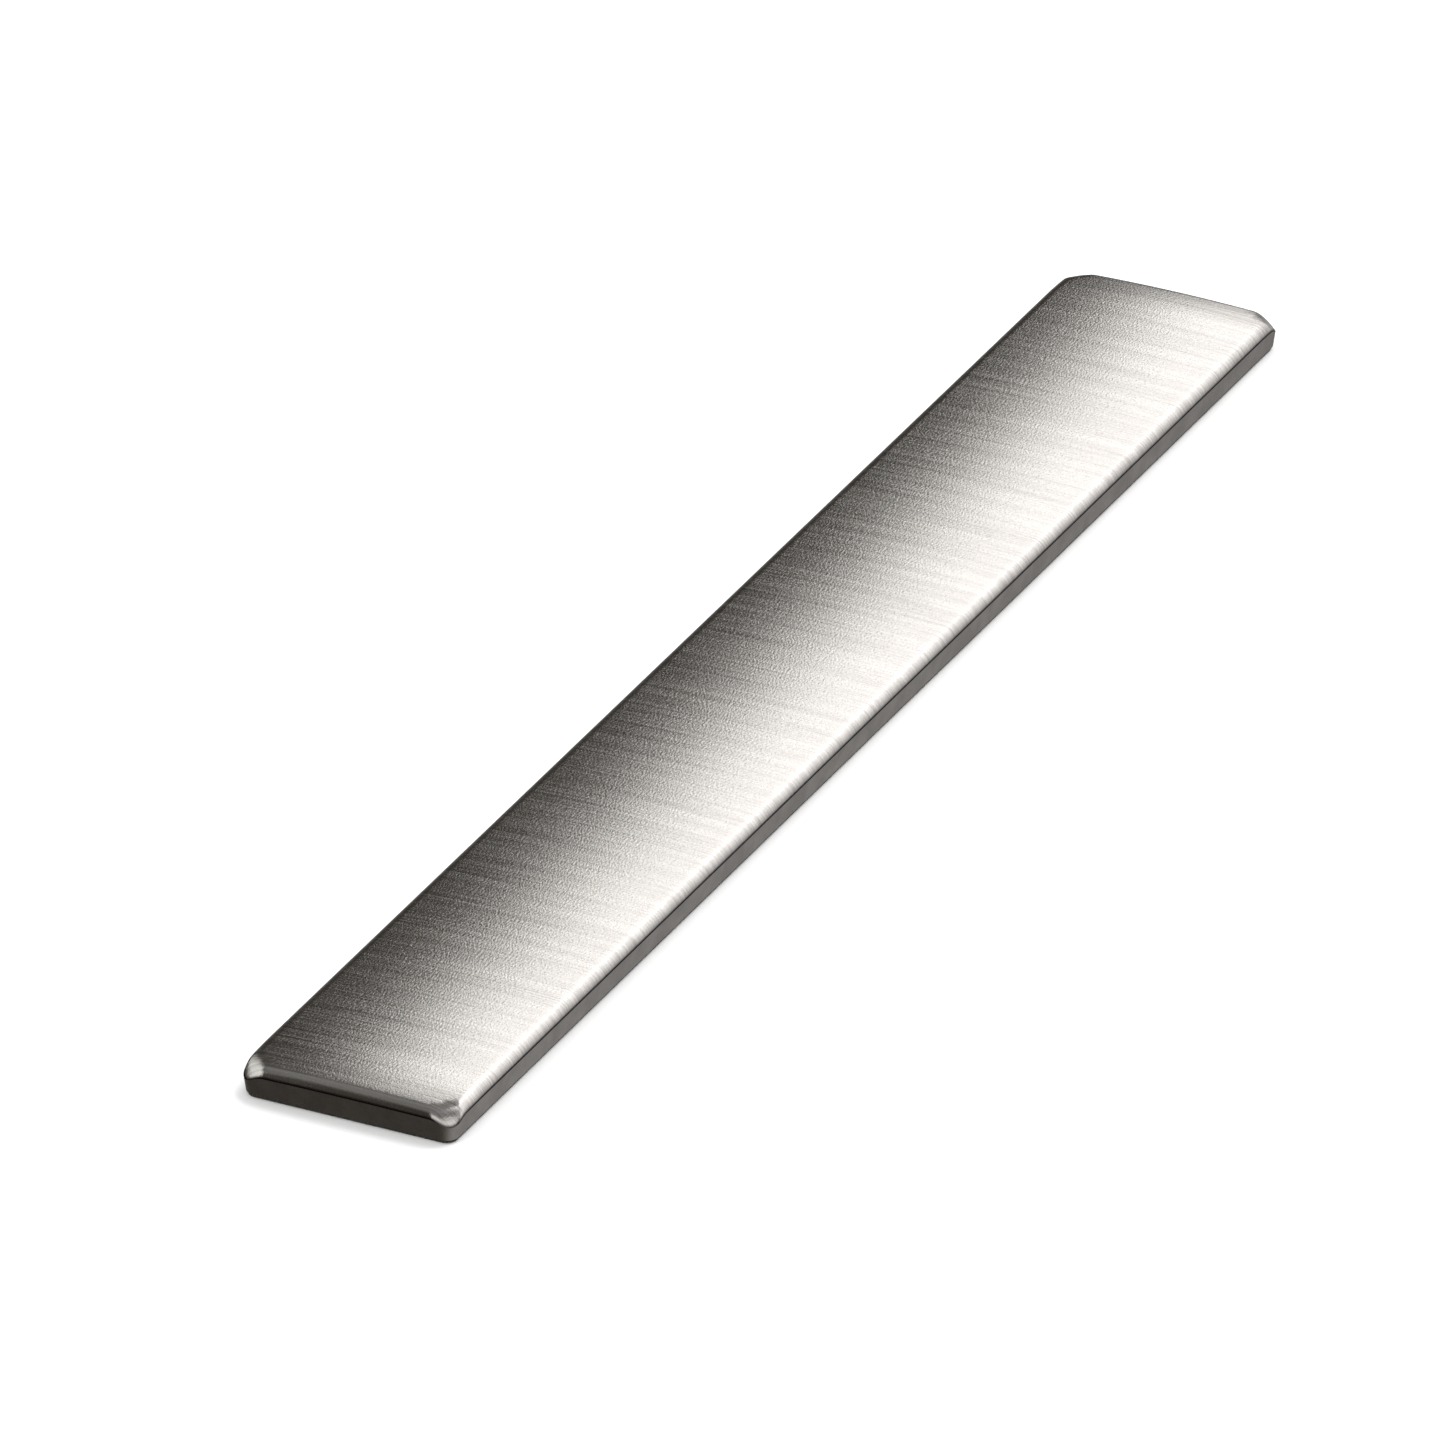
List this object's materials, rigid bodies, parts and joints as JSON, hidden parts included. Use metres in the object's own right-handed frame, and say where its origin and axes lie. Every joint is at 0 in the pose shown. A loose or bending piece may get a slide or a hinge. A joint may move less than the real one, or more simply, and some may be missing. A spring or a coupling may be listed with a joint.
{
  "type": "clip-on door plate",
  "caption": "Slim pillow-topped door plate with rounded corners: a brushed metal cover that clips over a screwed steel rail on a foam gasket.",
  "frame": {"origin": "middle of the back face, which lies on the door at Z = 0", "axes": "+X along the plate, +Y across its width, +Z out of the door face towards the crowned top"},
  "size_m": [0.2, 0.0254, 0.0044],
  "materials": {
    "brushed_cover": "satin, brushed across the width",
    "zinc_steel": "bright zinc plate",
    "spring_steel": "oil-tempered, semi-bright",
    "rivet_aluminium": "plain",
    "black_foam": "closed-cell foam, matt",
    "grey_felt": "pressed wool felt",
    "black_acetal": "moulded, matt"
  },
  "bodies": {
    "base": {"base_rail": "zinc_steel", "foam_gasket": "black_foam", "spring_clip_1": "spring_steel", "spring_clip_2": "spring_steel", "spring_clip_3": "spring_steel", "spring_clip_4": "spring_steel", "clip_rivets": "rivet_aluminium", "damping_pad_1": "grey_felt", "damping_pad_2": "grey_felt", "damping_pad_3": "grey_felt", "end_locator_left": "black_acetal", "end_locator_right": "black_acetal"},
    "cover": {"cover_plate": "brushed_cover"}
  },
  "joints": [
    {"name": "cover_lift", "type": "slide", "parent": "base", "child": "cover", "axis": [0, 0, 1], "range_m": [0, 0.012]}
  ]
}
